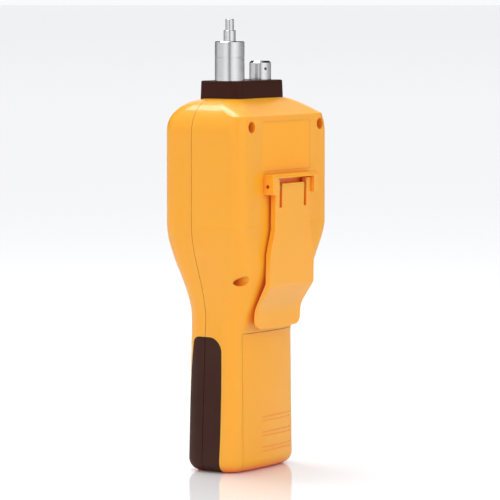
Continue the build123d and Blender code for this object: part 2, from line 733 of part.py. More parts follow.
# ---------------------------------------------------------------- top cap and fittings
with BuildPart() as top_cap:
    with BuildSketch(Plane.XY.offset(CAP_SEAT)):
        with Locations((0, (CAP_FRONT + CAP_BACK) / 2)):
            RectangleRounded(CAP_HALF_WIDTH * 2, CAP_BACK - CAP_FRONT, CAP_RADIUS)
    extrude(amount=CAP_TOP - CAP_SEAT, taper=2.5)
    fillet(top_cap.faces().sort_by(Axis.Z)[-1].edges(), 0.6)
    with BuildSketch(Plane.XY.offset(CAP_SEAT - 1)):
        with Locations((FITTING_X, FITTING_Y), (-FITTING_X, FITTING_Y)):
            Circle(SPIGOT_RADIUS)
    extrude(amount=CAP_TOP, mode=Mode.SUBTRACT)
    # room inside for the alarm lights, and their window in the front
    with BuildSketch(Plane.XY.offset(CAP_SEAT)):
        with Locations((0, CAP_FRONT + 4.2)):
            Rectangle(15, 4)
    extrude(amount=5.6, mode=Mode.SUBTRACT)
    with BuildSketch(across(CAP_FRONT + 3)):
        with Locations((0, ALARM_Z)):
            RectangleRounded(ALARM_WIDTH, ALARM_HEIGHT, 1.0)
    extrude(amount=6, mode=Mode.SUBTRACT)

with BuildPart() as alarm_window:
    with BuildSketch(across(CAP_FRONT + 2.2)):
        with Locations((0, ALARM_Z)):
            RectangleRounded(ALARM_WIDTH - ALARM_GAP, ALARM_HEIGHT - ALARM_GAP, 0.95)
    extrude(amount=2.1)
    chamfer(alarm_window.faces().sort_by(Axis.Y)[0].edges(), 0.25)

with BuildPart() as alarm_lights:
    with BuildSketch(across(CAP_FRONT + 4.6)):
        with GridLocations(4.6, 1, 3, 1):
            with Locations((0, ALARM_Z)):
                Rectangle(2.0, 1.6)
    extrude(amount=1.2)

with BuildPart() as inlet_base:
    with BuildSketch(Plane.XY.offset(SPIGOT_END)):
        with Locations((FITTING_X, FITTING_Y)):
            Circle(SPIGOT_RADIUS)
    extrude(amount=CAP_TOP - SPIGOT_END)
    with BuildSketch(Plane.XY.offset(CAP_TOP)):
        with Locations((FITTING_X, FITTING_Y)):
            Circle(INLET_RADIUS)
    extrude(amount=INLET_JOINT - CAP_TOP)
    with BuildSketch(Plane.XY.offset(CAP_TOP + 2.2)):
        with Locations((FITTING_X, FITTING_Y)):
            Circle(INLET_BORE)
    extrude(amount=INLET_JOINT, mode=Mode.SUBTRACT)
    with BuildSketch(Plane.XY.offset(SPIGOT_END)):
        with Locations((FITTING_X, FITTING_Y)):
            Circle(SPIGOT_BORE)
    extrude(amount=INLET_JOINT, mode=Mode.SUBTRACT)

with BuildPart() as inlet_filter_cap:
    with BuildSketch(Plane.XY.offset(INLET_JOINT + 0.15)):
        with Locations((FITTING_X, FITTING_Y)):
            Circle(INLET_RADIUS)
    extrude(amount=INLET_TOP - INLET_JOINT - 0.15)
    chamfer(inlet_filter_cap.edges().group_by(Axis.Z)[-1], 0.3)
    for radius, top in ((NOZZLE_RADIUS, NOZZLE_STEP), (NOZZLE_TIP_RADIUS, NOZZLE_TOP)):
        with BuildSketch(Plane.XY.offset(INLET_TOP - 1)):
            with Locations((FITTING_X, FITTING_Y)):
                Circle(radius)
        extrude(amount=top - INLET_TOP + 1)
        fillet(inlet_filter_cap.edges().group_by(Axis.Z)[-1], 0.3)
    with BuildSketch(Plane.XY.offset(INLET_SKIRT_END)):
        with Locations((FITTING_X, FITTING_Y)):
            Circle(INLET_SKIRT_RADIUS)
    extrude(amount=INLET_JOINT + 1 - INLET_SKIRT_END)
    with BuildSketch(Plane.XY.offset(INLET_SKIRT_END)):
        with Locations((FITTING_X, FITTING_Y)):
            Circle(FILTER_RADIUS)
    extrude(amount=INLET_TOP - INLET_ROOF - INLET_SKIRT_END, mode=Mode.SUBTRACT)
    with BuildSketch(Plane.XY.offset(INLET_SKIRT_END)):
        with Locations((FITTING_X, FITTING_Y)):
            Circle(NOZZLE_BORE)
    extrude(amount=NOZZLE_TOP, mode=Mode.SUBTRACT)

with BuildPart() as inlet_filter:
    with BuildSketch(Plane.XY.offset(INLET_SKIRT_END + 0.4)):
        with Locations((FITTING_X, FITTING_Y)):
            Circle(FILTER_RADIUS)
    extrude(amount=INLET_TOP - INLET_ROOF - INLET_SKIRT_END - 0.4)

with BuildPart() as outlet_fitting:
    with BuildSketch(Plane.XY.offset(SPIGOT_END)):
        with Locations((-FITTING_X, FITTING_Y)):
            Circle(SPIGOT_RADIUS)
    extrude(amount=CAP_TOP - SPIGOT_END)
    with BuildSketch(Plane.XY.offset(CAP_TOP)):
        with Locations((-FITTING_X, FITTING_Y)):
            Circle(OUTLET_RADIUS)
    extrude(amount=OUTLET_TOP - CAP_TOP)
    chamfer(outlet_fitting.edges().group_by(Axis.Z)[-1], 0.8)
    with BuildSketch(Plane.XY.offset(SPIGOT_END)):
        with Locations((-FITTING_X, FITTING_Y)):
            Circle(SPIGOT_BORE)
    extrude(amount=OUTLET_TOP, mode=Mode.SUBTRACT)
    vent_plane = Plane(
        origin=(-FITTING_X, FITTING_Y, OUTLET_VENT_HEIGHT),
        z_dir=(cos(radians(OUTLET_VENT_ANGLE)), sin(radians(OUTLET_VENT_ANGLE)), 0),
    )
    with BuildSketch(vent_plane):
        Circle(OUTLET_VENT_RADIUS)
    extrude(amount=OUTLET_RADIUS + 1, mode=Mode.SUBTRACT)

with BuildPart() as fitting_seals:
    with BuildSketch(Plane.XY.offset(SPIGOT_END + 3.4)):
        with Locations((FITTING_X, FITTING_Y), (-FITTING_X, FITTING_Y)):
            Circle(SPIGOT_RADIUS + SEAL_WIDTH)
            Circle(SPIGOT_RADIUS, mode=Mode.SUBTRACT)
    extrude(amount=SEAL_WIDTH)

# ---------------------------------------------------------------- display, keys and boards
with BuildPart() as lcd_module:
    add(rounded_plate(across(HEAD_FRONT + WALL + 4.6), 111.8, 147.2, 22.4, 0.6, 4.5).part)

keys = {}
for name, shape in key_shapes.items():
    with BuildPart() as key:
        add(key_prism(shape, 0, KEY_FLANGE_BACK, KEY_FACE).part)
        fillet(key.faces().sort_by(Axis.Y)[0].edges(), 0.7)
        add(key_prism(shape, 0.9, KEY_FLANGE_BACK, KEY_FLANGE_FRONT).part)
    keys[name] = key

with BuildPart() as key_switches:
    with BuildSketch(across(BOARD_FRONT)):
        with Locations(*[(shape[0], shape[1]) for shape in key_shapes.values()]):
            Circle(2.2)
    extrude(amount=0.65)

with BuildPart() as main_board:
    with BuildSketch(across(BOARD_BACK)):
        with Locations((0, 124.3)):
            Rectangle(58, 42.4)
        with Locations((0, 67.0)):
            Rectangle(35, 74)
        with Locations(*BOARD_HOLES):
            Circle(1.3, mode=Mode.SUBTRACT)
    extrude(amount=BOARD_BACK - BOARD_FRONT)
    # chips and connectors standing on the board
    with BuildSketch(across(BOARD_BACK)):
        for x, z, width, height in ((8, 128, 12, 12), (-12, 112, 8, 6), (4, 92, 9, 9), (-6, 76, 6, 10)):
            with Locations((x, z)):
                Rectangle(width, height)
    extrude(amount=-1.3)

with BuildPart() as board_screws:
    for x, z in BOARD_HOLES:
        with BuildSketch(across(BOARD_BACK)):
            with Locations((x, z)):
                Circle(2.0)
        extrude(amount=-1.2)
        with BuildSketch(across(BOARD_BACK)):
            with Locations((x, z)):
                Circle(BOARD_SCREW_RADIUS)
        extrude(amount=BOARD_BACK - BOARD_SCREW_END)

with BuildPart() as charging_socket:
    with BuildSketch(Plane.YZ.offset(-HEAD_HALF_WIDTH + WALL - 0.4)):
        with Locations(((PORT_FRONT + PORT_BACK) / 2, PORT_Z)):
            mouth = RectangleRounded(PORT_BACK - PORT_FRONT, PORT_HALF_WIDTH * 2 - 0.2, 1.2)
            offset(mouth, amount=-0.3, mode=Mode.SUBTRACT)
    extrude(amount=6.5)
    with BuildSketch(Plane.YZ.offset(-HEAD_HALF_WIDTH + WALL + 0.8)):
        with Locations(((PORT_FRONT + PORT_BACK) / 2, PORT_Z)):
            Rectangle(0.7, 6.6)
    extrude(amount=5.3)
    with BuildSketch(Plane.YZ.offset(-HEAD_HALF_WIDTH + WALL + 5.6)):
        with Locations(((PORT_FRONT + PORT_BACK) / 2, PORT_Z)):
            Rectangle(PORT_BACK - PORT_FRONT, PORT_HALF_WIDTH * 2 - 0.2)
    extrude(amount=1.0)

with BuildPart() as port_flap:
    with BuildSketch(Plane.YZ.offset(-HEAD_HALF_WIDTH)):
        with Locations(((FLAP_FRONT + FLAP_BACK) / 2, PORT_Z)):
            RectangleRounded(FLAP_BACK - FLAP_FRONT, FLAP_HALF_HEIGHT * 2, 1.2)
    extrude(amount=FLAP_THICK)

# ---------------------------------------------------------------- gas path
with BuildPart() as sensor_board:
    with BuildSketch(across(SENSOR_BOARD_BACK)):
        with Locations((SENSOR_MIDDLE, 125.0)):
            Rectangle(43, 41)
    extrude(amount=SENSOR_BOARD_BACK - SENSOR_BOARD_FRONT)

with BuildPart() as gas_sensors:
    with BuildSketch(across(SENSOR_BACK)):
        with Locations(*SENSOR_PLACES):
            Circle(SENSOR_RADIUS)
    extrude(amount=SENSOR_BACK - SENSOR_BOARD_BACK)
    chamfer(gas_sensors.edges().filter_by(GeomType.CIRCLE), 0.5)

with BuildPart() as sensor_manifold:
    with BuildSketch(across(MANIFOLD_BACK)):
        with Locations((SENSOR_MIDDLE, (MANIFOLD_LOW + MANIFOLD_TOP) / 2)):
            RectangleRounded(43.4, MANIFOLD_TOP - MANIFOLD_LOW, 3)
    extrude(amount=MANIFOLD_BACK - SENSOR_BACK)
    with BuildSketch(across(SENSOR_BACK)):
        with Locations(*SENSOR_PLACES):
            Circle(7.0)
    extrude(amount=-1.2, mode=Mode.SUBTRACT)
    with BuildSketch(Plane.XY.offset(MANIFOLD_TOP - 1)):
        with Locations((FITTING_X, MANIFOLD_Y), (SUCTION_X, MANIFOLD_Y)):
            Circle(NIPPLE_RADIUS)
    extrude(amount=4.6)
    with BuildSketch(Plane.XY.offset(MANIFOLD_TOP - 20)):
        with Locations((FITTING_X, MANIFOLD_Y), (SUCTION_X, MANIFOLD_Y)):
            Circle(NIPPLE_BORE)
    extrude(amount=30, mode=Mode.SUBTRACT)

with BuildPart() as pump_motor:
    with BuildSketch(Plane.XY.offset(MOTOR_LOW)):
        with Locations((PUMP_X, PUMP_Y)):
            Circle(MOTOR_RADIUS)
    extrude(amount=PUMP_LOW - MOTOR_LOW)
    chamfer(pump_motor.edges().group_by(Axis.Z)[0], 0.8)
    with BuildSketch(Plane.XY.offset(PUMP_LOW - 4)):
        with Locations((PUMP_X, PUMP_Y)):
            Circle(SHAFT_RADIUS + 0.05)
    extrude(amount=5, mode=Mode.SUBTRACT)

with BuildPart() as pump_head:
    with BuildSketch(Plane.XY.offset(PUMP_LOW)):
        with Locations((PUMP_X, PUMP_Y)):
            RectangleRounded(PUMP_HALF * 2, PUMP_HALF * 2, 1.5)
    extrude(amount=PUMP_HIGH - PUMP_LOW)
    with BuildSketch(Plane.XY.offset(PUMP_LOW)):
        with Locations((PUMP_X, PUMP_Y)):
            Circle(PUMP_CHAMBER_RADIUS)
    extrude(amount=PUMP_CHAMBER_HEIGHT, mode=Mode.SUBTRACT)
    with BuildSketch(Plane.XY.offset(PUMP_HIGH)):
        with Locations((PUMP_PORT_X, PUMP_SUCTION_Y), (PUMP_PORT_X, PUMP_EXHAUST_Y)):
            Circle(NIPPLE_RADIUS)
    extrude(amount=4)
    with BuildSketch(Plane.XY.offset(PUMP_HIGH - 3)):
        with Locations((PUMP_PORT_X, PUMP_SUCTION_Y), (PUMP_PORT_X, PUMP_EXHAUST_Y)):
            Circle(NIPPLE_BORE)
    extrude(amount=10, mode=Mode.SUBTRACT)

with BuildPart() as pump_diaphragm:
    with BuildSketch(Plane.XY.offset(PUMP_LOW + DIAPHRAGM_LIFT)):
        with Locations((PUMP_X, PUMP_Y)):
            Circle(PUMP_CHAMBER_RADIUS)
    extrude(amount=DIAPHRAGM_THICK)

with BuildPart() as pump_eccentric:
    with BuildSketch(Plane.XY.offset(PUMP_LOW - 3.6)):
        with Locations((PUMP_X, PUMP_Y)):
            Circle(SHAFT_RADIUS)
    extrude(amount=6.0)
    with BuildSketch(Plane.XY.offset(PUMP_LOW + 1.2)):
        with Locations((PUMP_X + ECCENTRIC_THROW, PUMP_Y)):
            Circle(ECCENTRIC_RADIUS)
    extrude(amount=5.2)

suction_hose = tube(
    [(SUCTION_X, MANIFOLD_Y, MANIFOLD_TOP + 1.2), (SUCTION_X, MANIFOLD_Y, MANIFOLD_TOP + 6.5),
     (PUMP_PORT_X, PUMP_SUCTION_Y, MANIFOLD_TOP + 6.5), (PUMP_PORT_X, PUMP_SUCTION_Y, PUMP_HIGH + 1)],
    TUBE_RADIUS, TUBE_BORE, 2.6)
exhaust_hose = tube(
    [(PUMP_PORT_X, PUMP_EXHAUST_Y, PUMP_HIGH + 1), (PUMP_PORT_X, PUMP_EXHAUST_Y, 145.0),
     (-FITTING_X, FITTING_Y, 149.5), (-FITTING_X, FITTING_Y, SPIGOT_END + 2.2)],
    TUBE_RADIUS + 0.5, SPIGOT_RADIUS, 2.8)
inlet_hose = tube(
    [(FITTING_X, MANIFOLD_Y, MANIFOLD_TOP + 0.6), (FITTING_X, MANIFOLD_Y, 150.2),
     (FITTING_X, FITTING_Y, 150.4), (FITTING_X, FITTING_Y, SPIGOT_END + 2.2)],
    TUBE_RADIUS + 0.5, SPIGOT_RADIUS, 2.8)

# ---------------------------------------------------------------- battery, sounder, vibrator
with BuildPart() as battery_tray:
    with BuildSketch(across(TRAY_BACK)):
        with Locations((0, (TRAY_LOW + TRAY_HIGH) / 2)):
            RectangleRounded(TRAY_HALF * 2, TRAY_HIGH - TRAY_LOW, 1.5)
    extrude(amount=TRAY_BACK - TRAY_FRONT)
    with BuildSketch(across(TRAY_BACK)):
        with Locations((0, (TRAY_LOW + TRAY_HIGH) / 2)):
            Rectangle((TRAY_HALF - TRAY_WALL) * 2, TRAY_HIGH - TRAY_LOW - TRAY_WALL * 2)
    extrude(amount=TRAY_BACK - TRAY_FRONT - TRAY_WALL, mode=Mode.SUBTRACT)

with BuildPart() as battery_pack:
    with BuildSketch(across(PACK_BACK)):
        with Locations((0, (PACK_LOW + PACK_HIGH) / 2)):
            RectangleRounded(PACK_HALF * 2, PACK_HIGH - PACK_LOW, 2)
    extrude(amount=PACK_BACK - PACK_FRONT)
    fillet(battery_pack.edges().filter_by(Axis.Z), 2)

with BuildPart() as battery_contacts:
    with BuildSketch(across(3.5)):
        with GridLocations(7, 1, 3, 1):
            with Locations((0, (PACK_HIGH + TRAY_HIGH - TRAY_WALL) / 2)):
                Rectangle(3, TRAY_HIGH - TRAY_WALL - PACK_HIGH)
    extrude(amount=2.5)

with BuildPart() as door_foam:
    with BuildSketch(across(FOAM_FACE)):
        with Locations((0, (PACK_LOW + PACK_HIGH) / 2)):
            RectangleRounded(28, 40, 2)
    extrude(amount=FOAM_THICK)

with BuildPart() as buzzer:
    with BuildSketch(across(BUZZER_BACK)):
        with Locations((0, BUZZER_Z)):
            Circle(BUZZER_RADIUS)
    extrude(amount=BUZZER_BACK - BUZZER_FRONT)
    with BuildSketch(across(-10.4)):
        with Locations((0, BUZZER_Z)):
            Circle(1.2)
    extrude(amount=10, mode=Mode.SUBTRACT)

with BuildPart() as vibrator_motor:
    with BuildSketch(Plane.YZ.offset(VIBRATOR_START)):
        with Locations((VIBRATOR_Y, VIBRATOR_Z)):
            Circle(VIBRATOR_RADIUS)
    extrude(amount=VIBRATOR_LENGTH)
    with BuildSketch(Plane.YZ.offset(3)):
        with Locations((VIBRATOR_Y, VIBRATOR_Z)):
            Circle(VIBRATOR_SHAFT + 0.05)
    extrude(amount=10, mode=Mode.SUBTRACT)

with BuildPart() as vibrator_weight:
    with BuildSketch(Plane.YZ.offset(3.2)):
        with Locations((VIBRATOR_Y, VIBRATOR_Z)):
            Circle(VIBRATOR_SHAFT)
    extrude(amount=7.8)
    with BuildSketch(Plane.YZ.offset(WEIGHT_START)):
        with Locations((VIBRATOR_Y, VIBRATOR_Z)):
            Circle(WEIGHT_RADIUS)
        with Locations((VIBRATOR_Y, VIBRATOR_Z + 3.9)):
            Rectangle(8, 6, mode=Mode.SUBTRACT)
    extrude(amount=WEIGHT_LENGTH)

# ---------------------------------------------------------------- shell screws
with BuildPart() as shell_screws:
    for (x, z), seat in ((UPPER_POST, UPPER_SEAT), (LOWER_POST, LOWER_SEAT)):
        for side in (-1, 1):
            with BuildSketch(across(seat)):
                with Locations((side * x, z)):
                    Circle(SCREW_HEAD_RADIUS)
            extrude(amount=-SCREW_HEAD)
            with BuildSketch(across(seat + SCREW_HEAD)):
                with Locations((side * x, z)):
                    Rectangle(2.8, 0.6)
                    Rectangle(0.6, 2.8)
            extrude(amount=0.8, mode=Mode.SUBTRACT)
            with BuildSketch(across(seat)):
                with Locations((side * x, z)):
                    Circle(SCREW_RADIUS)
            extrude(amount=seat - SCREW_END)

# ---------------------------------------------------------------- files
pieces = {
    "front_shell": front_shell,
    "rear_shell": rear_shell,
    "seam_gasket": seam_gasket,
    "grip_pad_front_left": grip_pad_front_left,
    "grip_pad_front_right": grip_pad_front_right,
    "grip_pad_rear_left": grip_pad_rear_left,
    "grip_pad_rear_right": grip_pad_rear_right,
    "shell_screws": shell_screws,
    "top_cap": top_cap,
    "alarm_window": alarm_window,
    "alarm_lights": alarm_lights,
    "inlet_base": inlet_base,
    "inlet_filter_cap": inlet_filter_cap,
    "inlet_filter": inlet_filter,
    "outlet_fitting": outlet_fitting,
    "fitting_seals": fitting_seals,
    "belt_clip": belt_clip,
    "clip_pin": clip_pin,
    "clip_springs": clip_springs,
    "battery_door": battery_door,
    "door_foam": door_foam,
    "rating_label": rating_label,
    "display_bezel": display_bezel,
    "display_lens": display_lens,
    "lcd_module": lcd_module,
    "key_panel": key_panel,
    "key_switches": key_switches,
    "main_board": main_board,
    "board_screws": board_screws,
    "charging_socket": charging_socket,
    "port_flap": port_flap,
    "sensor_board": sensor_board,
    "gas_sensors": gas_sensors,
    "sensor_manifold": sensor_manifold,
    "pump_motor": pump_motor,
    "pump_head": pump_head,
    "pump_diaphragm": pump_diaphragm,
    "pump_eccentric": pump_eccentric,
    "inlet_hose": inlet_hose,
    "suction_hose": suction_hose,
    "exhaust_hose": exhaust_hose,
    "battery_tray": battery_tray,
    "battery_pack": battery_pack,
    "battery_contacts": battery_contacts,
    "buzzer": buzzer,
    "vibrator_motor": vibrator_motor,
    "vibrator_weight": vibrator_weight,
}
pieces.update(keys)
for piece_name, piece in pieces.items():
    save(piece, piece_name)
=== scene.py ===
"""Looks for the portable gas detector: materials, backdrop, lights and camera."""

import json
import math

import bmesh
import bpy
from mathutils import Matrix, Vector

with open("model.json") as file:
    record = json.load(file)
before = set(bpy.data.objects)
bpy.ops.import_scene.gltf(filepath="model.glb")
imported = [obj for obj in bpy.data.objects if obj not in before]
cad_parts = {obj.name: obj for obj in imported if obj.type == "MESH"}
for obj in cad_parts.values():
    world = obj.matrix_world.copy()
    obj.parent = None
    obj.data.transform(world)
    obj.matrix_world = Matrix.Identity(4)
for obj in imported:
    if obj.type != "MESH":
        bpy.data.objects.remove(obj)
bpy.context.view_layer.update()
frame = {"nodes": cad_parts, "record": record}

# Lengths are in metres, angles in degrees, and colours are linear red, green and blue.
# The casing's orange, the painted red shade in its gaps, the painted highlight on its edges, and how
# light soaks into it.
ORANGE = (0.895, 0.378, 0.018)
DEEP_ORANGE = (0.82, 0.31, 0.012)
PAINTED_EDGE_ORANGE = (0.95, 0.43, 0.05)
PAINTED_GAP_RED = (1.0, 0.20, 0.03)
PAINTED_GAP_REACH = 0.005
SOAK_WEIGHT = 0.35
SOAK_REACH = 0.0035
SOAK_SPREAD = (1.0, 0.22, 0.06)
# The dark pads and cap, the painted highlight on edges, and the turned steel's rim and rings.
BROWN = (0.040, 0.0115, 0.0065)
PAINTED_EDGE_SHARE = 0.35
STEEL_EDGE = (0.35, 0.35, 0.36)
RING_PITCH = 0.0003
RING_SMEAR = 0.025

# The studio: surround, floor, and grey screens that only reflections see.
SURROUND = 0.98
SURROUND_COLOUR = (0.975, 0.98, 1.0)
FLOOR_COLOUR = (0.925, 0.925, 0.94)
FLOOR_SHEEN = 0.43
FLOOR_GLOSS = (0.09, 0.11)
FLOOR_HALF = 80.0
FLOOR_DROP = 0.00005
SCREENS_FACE = 124
# Degrees round from the middle of the open side, and how bright the screen is there.
SCREENS = (
    (-170, 0.97), (-161, 0.0), (-124, 0.0), (-105, 0.50), (-60, 0.60), (-32, 1.0), (-16, 0.8),
    (-5, 0.0), (5, 0.0), (15, 0.8), (38, 1.15), (60, 0.92), (84, 0.36), (104, 0.0), (156, 0.0),
    (166, 0.97),
)
SCREEN_BLUE = 1.01

# What the lights aim at.
SHOULDER = (0, 0, 0.15)
MIDDLE = (0, 0, 0.1)
GRIP_FOOT = (0, 0, 0.03)

# The camera: where it stands round the object, and its lens and sensor in millimetres.
VIEW_AZIMUTH = 124.09
VIEW_HEIGHT = 4.509
VIEW_DISTANCE = 1.39007
VIEW_AIM = Vector((0, 0.0025, 0.098))
VIEW_LENS = 229.69
VIEW_SENSOR = 36.0
VIEW_SHIFT = (0.00536, -0.01312)
VIEW_REACH = 50.0

# Sockets of the colour mix node, whose names repeat for each kind of value.
MIX_FACTOR = 0
MIX_FIRST = 6
MIX_SECOND = 7
MIX_RESULT = 2


# ---------------------------------------------------------------- material helpers
class Surface:
    """A node material built up step by step from a principled shader."""

    def __init__(self, name, colour, rough, metal=0.0, specular=0.5, coat=0.0, coat_rough=0.1):
        self.material = bpy.data.materials.new(name)
        self.material.use_nodes = True
        self.tree = self.material.node_tree
        self.shader = self.tree.nodes["Principled BSDF"]
        self.shader.inputs["Base Color"].default_value = (*colour, 1)
        self.shader.inputs["Roughness"].default_value = rough
        self.shader.inputs["Metallic"].default_value = metal
        self.shader.inputs["Specular IOR Level"].default_value = specular
        self.shader.inputs["Coat Weight"].default_value = coat
        self.shader.inputs["Coat Roughness"].default_value = coat_rough
        self.rough = rough
        self.place = self.add("ShaderNodeTexCoord").outputs["Object"]

    def add(self, kind, **values):
        node = self.tree.nodes.new(kind)
        for key, value in values.items():
            setattr(node, key, value)
        return node

    def link(self, start, end):
        self.tree.links.new(start, end)

    def stretched(self, scale):
        """Object coordinates scaled unevenly, for grain that runs one way."""
        mapping = self.add("ShaderNodeMapping")
        mapping.inputs["Scale"].default_value = scale
        self.link(self.place, mapping.inputs["Vector"])
        return mapping.outputs["Vector"]

    def noise(self, size, detail, place=None):
        """Noise whose features are about size metres across."""
        node = self.add("ShaderNodeTexNoise")
        node.inputs["Scale"].default_value = 1.0 / size
        node.inputs["Detail"].default_value = detail
        self.link(place or self.place, node.inputs["Vector"])
        return node.outputs["Fac"]

    def spread(self, value, low, high, start=0.3, end=0.7):
        """Maps a factor from start..end to low..high."""
        node = self.add("ShaderNodeMapRange")
        node.inputs["From Min"].default_value = start
        node.inputs["From Max"].default_value = end
        node.inputs["To Min"].default_value = low
        node.inputs["To Max"].default_value = high
        self.link(value, node.inputs["Value"])
        return node.outputs["Result"]

    def tint(self, factor, other):
        """The base colour turns towards another colour by the factor."""
        mix = self.add("ShaderNodeMix", data_type="RGBA")
        source = self.shader.inputs["Base Color"]
        if source.is_linked:
            self.link(source.links[0].from_socket, mix.inputs[MIX_FIRST])
        else:
            mix.inputs[MIX_FIRST].default_value = source.default_value
        mix.inputs[MIX_SECOND].default_value = (*other, 1)
        self.link(factor, mix.inputs[MIX_FACTOR])
        self.link(mix.outputs[MIX_RESULT], source)

    def blotches(self, size, detail, amount, other):
        """Patches about size metres across, tinted by up to the amount."""
        self.tint(self.spread(self.noise(size, detail), 0.0, amount), other)

    def uneven_gloss(self, size, detail, swing):
        """Roughness wanders round its middle value."""
        patches = self.noise(size, detail)
        gloss = self.spread(patches, self.rough - swing, self.rough + swing)
        self.link(gloss, self.shader.inputs["Roughness"])

    def bump(self, height, depth):
        """Relief of the given depth in metres."""
        node = self.add("ShaderNodeBump")
        node.inputs["Distance"].default_value = depth
        self.link(height, node.inputs["Height"])
        self.link(node.outputs["Normal"], self.shader.inputs["Normal"])

    def painted_gap_shade(self, other, reach):
        """Painted shade: narrow gaps and deep holes, where little light reaches, turn towards another
        colour.
        """
        hidden = self.add("ShaderNodeAmbientOcclusion", samples=8)
        hidden.inputs["Distance"].default_value = reach
        depth = self.spread(hidden.outputs["AO"], 1.0, 0.0, start=0.1, end=0.75)
        self.tint(depth, other)

    def translucent(self, weight, reach, colour):
        """Light spreads a little way inside the material."""
        self.shader.inputs["Subsurface Weight"].default_value = weight
        self.shader.inputs["Subsurface Scale"].default_value = reach
        self.shader.inputs["Subsurface Radius"].default_value = colour

    def painted_edge_highlight(self, other, amount):
        """Painted highlight: sharp convex edges turn slightly towards another colour."""
        geometry = self.add("ShaderNodeNewGeometry")
        highlight_mask = self.spread(geometry.outputs["Pointiness"], 0.0, amount, start=0.52, end=0.6)
        self.tint(highlight_mask, other)


def scaled(colour, share, lift=0.0):
    """A paler or deeper version of a colour."""
    return tuple(min(1.0, part * share + lift) for part in colour)


# ---------------------------------------------------------------- kinds of material
def moulded_plastic(name, colour, rough, grain, depth, coat=0.0, drift=0.06, specular=0.5):
    """Injection-moulded plastic: fine spark grain, slight colour drift, a painted highlight on edges.
    """
    surface = Surface(name, colour, rough, specular=specular, coat=coat, coat_rough=0.22)
    surface.blotches(size=0.05, detail=2.0, amount=drift * 4, other=scaled(colour, 0.86))
    # The paler edges are a painted highlight.
    surface.painted_edge_highlight(scaled(colour, 1.12, lift=0.01), PAINTED_EDGE_SHARE)
    surface.uneven_gloss(size=0.012, detail=4.0, swing=0.05)
    surface.bump(surface.noise(size=grain, detail=2.0), depth)
    return surface.material


def shell_plastic(name):
    """The casing's orange plastic: light soaks in a little, and its gaps carry a painted red shade."""
    surface = Surface(name, ORANGE, rough=0.36, specular=0.3, coat=0.42, coat_rough=0.12)
    surface.blotches(size=0.05, detail=2.0, amount=0.08, other=DEEP_ORANGE)
    # The paler edges are a painted highlight.
    surface.painted_edge_highlight(PAINTED_EDGE_ORANGE, PAINTED_EDGE_SHARE)
    # The redder gaps and holes are painted shade.
    surface.painted_gap_shade(PAINTED_GAP_RED, PAINTED_GAP_REACH)
    surface.translucent(SOAK_WEIGHT, SOAK_REACH, SOAK_SPREAD)
    surface.uneven_gloss(size=0.012, detail=4.0, swing=0.05)
    surface.bump(surface.noise(size=0.00045, detail=2.0), depth=0.00001)
    return surface.material


def soft_rubber(name, colour, rough):
    """Moulded rubber with a matt, dusty sheen."""
    surface = Surface(name, colour, rough, specular=0.16)
    surface.blotches(size=0.02, detail=3.0, amount=0.3, other=scaled(colour, 1.5, lift=0.004))
    surface.uneven_gloss(size=0.006, detail=4.0, swing=0.07)
    surface.bump(surface.noise(size=0.0005, detail=2.0), depth=0.00002)
    return surface.material


def turned_steel(name, colour, rough):
    """Steel turned on a lathe: fine rings along Z, faint smears, darker where seen edge on."""
    surface = Surface(name, colour, rough, metal=1.0)
    surface.shader.inputs["Specular Tint"].default_value = (*STEEL_EDGE, 1)
    along_rings = surface.stretched((1.0 / RING_SMEAR, 1.0 / RING_SMEAR, 1.0 / RING_PITCH))
    rings = surface.noise(size=1.0, detail=2.0, place=along_rings)
    surface.blotches(size=0.004, detail=3.0, amount=0.25, other=scaled(colour, 0.8))
    surface.uneven_gloss(size=0.003, detail=3.0, swing=0.06)
    surface.bump(rings, depth=0.000006)
    return surface.material


def plain_metal(name, colour, rough):
    """Plated metal with small scratches."""
    surface = Surface(name, colour, rough, metal=1.0)
    surface.blotches(size=0.003, detail=4.0, amount=0.4, other=scaled(colour, 0.7))
    surface.uneven_gloss(size=0.002, detail=3.0, swing=0.08)
    surface.bump(surface.noise(size=0.0008, detail=3.0), depth=0.00001)
    return surface.material


def display_glass(name):
    """Tinted window glass over the display."""
    surface = Surface(name, (0.030, 0.036, 0.034), rough=0.06, specular=0.6, coat=1.0, coat_rough=0.03)
    surface.blotches(size=0.03, detail=2.0, amount=0.4, other=(0.045, 0.055, 0.05))
    surface.uneven_gloss(size=0.01, detail=3.0, swing=0.02)
    return surface.material


# ---------------------------------------------------------------- a look for each slot
# Slot: (colour, roughness, size of the grain, depth of the grain, other values).
PLASTICS = {
    "blank_label": ((0.90, 0.37, 0.018), 0.46, 0.0009, 0.000008, {"drift": 0.02, "specular": 0.3}),
    "dark_cap": (BROWN, 0.4, 0.0005, 0.00001, {"drift": 0.04, "specular": 0.09}),
    "red_window": ((0.5, 0.015, 0.01), 0.15, 0.002, 0.000004, {"coat": 0.5}),
    "filter_white": ((0.8, 0.8, 0.77), 0.8, 0.0006, 0.00006, {}),
    "display_dark": ((0.10, 0.12, 0.10), 0.25, 0.004, 0.000003, {"coat": 0.6}),
    "circuit_green": ((0.015, 0.12, 0.05), 0.3, 0.003, 0.00002, {"coat": 0.4}),
    "sensor_white": ((0.62, 0.62, 0.58), 0.45, 0.0008, 0.00001, {}),
    "inner_black": ((0.02, 0.02, 0.02), 0.45, 0.0006, 0.00001, {}),
    "battery_wrap": ((0.03, 0.09, 0.28), 0.25, 0.004, 0.00002, {"coat": 0.5}),
}
# Slot: (colour, roughness).
RUBBERS = {
    "grip_rubber": (BROWN, 0.5),
    "amber_seal": ((0.95, 0.45, 0.03), 0.5),
    "black_seal": ((0.014, 0.012, 0.012), 0.6),
    "soft_foam": ((0.05, 0.05, 0.05), 0.9),
    "key_rubber": ((0.10, 0.10, 0.11), 0.5),
    "clear_hose": ((0.6, 0.58, 0.5), 0.35),
}
METALS = {
    "screw_steel": ((0.42, 0.41, 0.40), 0.35),
    "spring_bronze": ((0.80, 0.30, 0.09), 0.45),
    "bright_metal": ((0.62, 0.62, 0.62), 0.3),
    "contact_brass": ((0.78, 0.56, 0.25), 0.25),
}


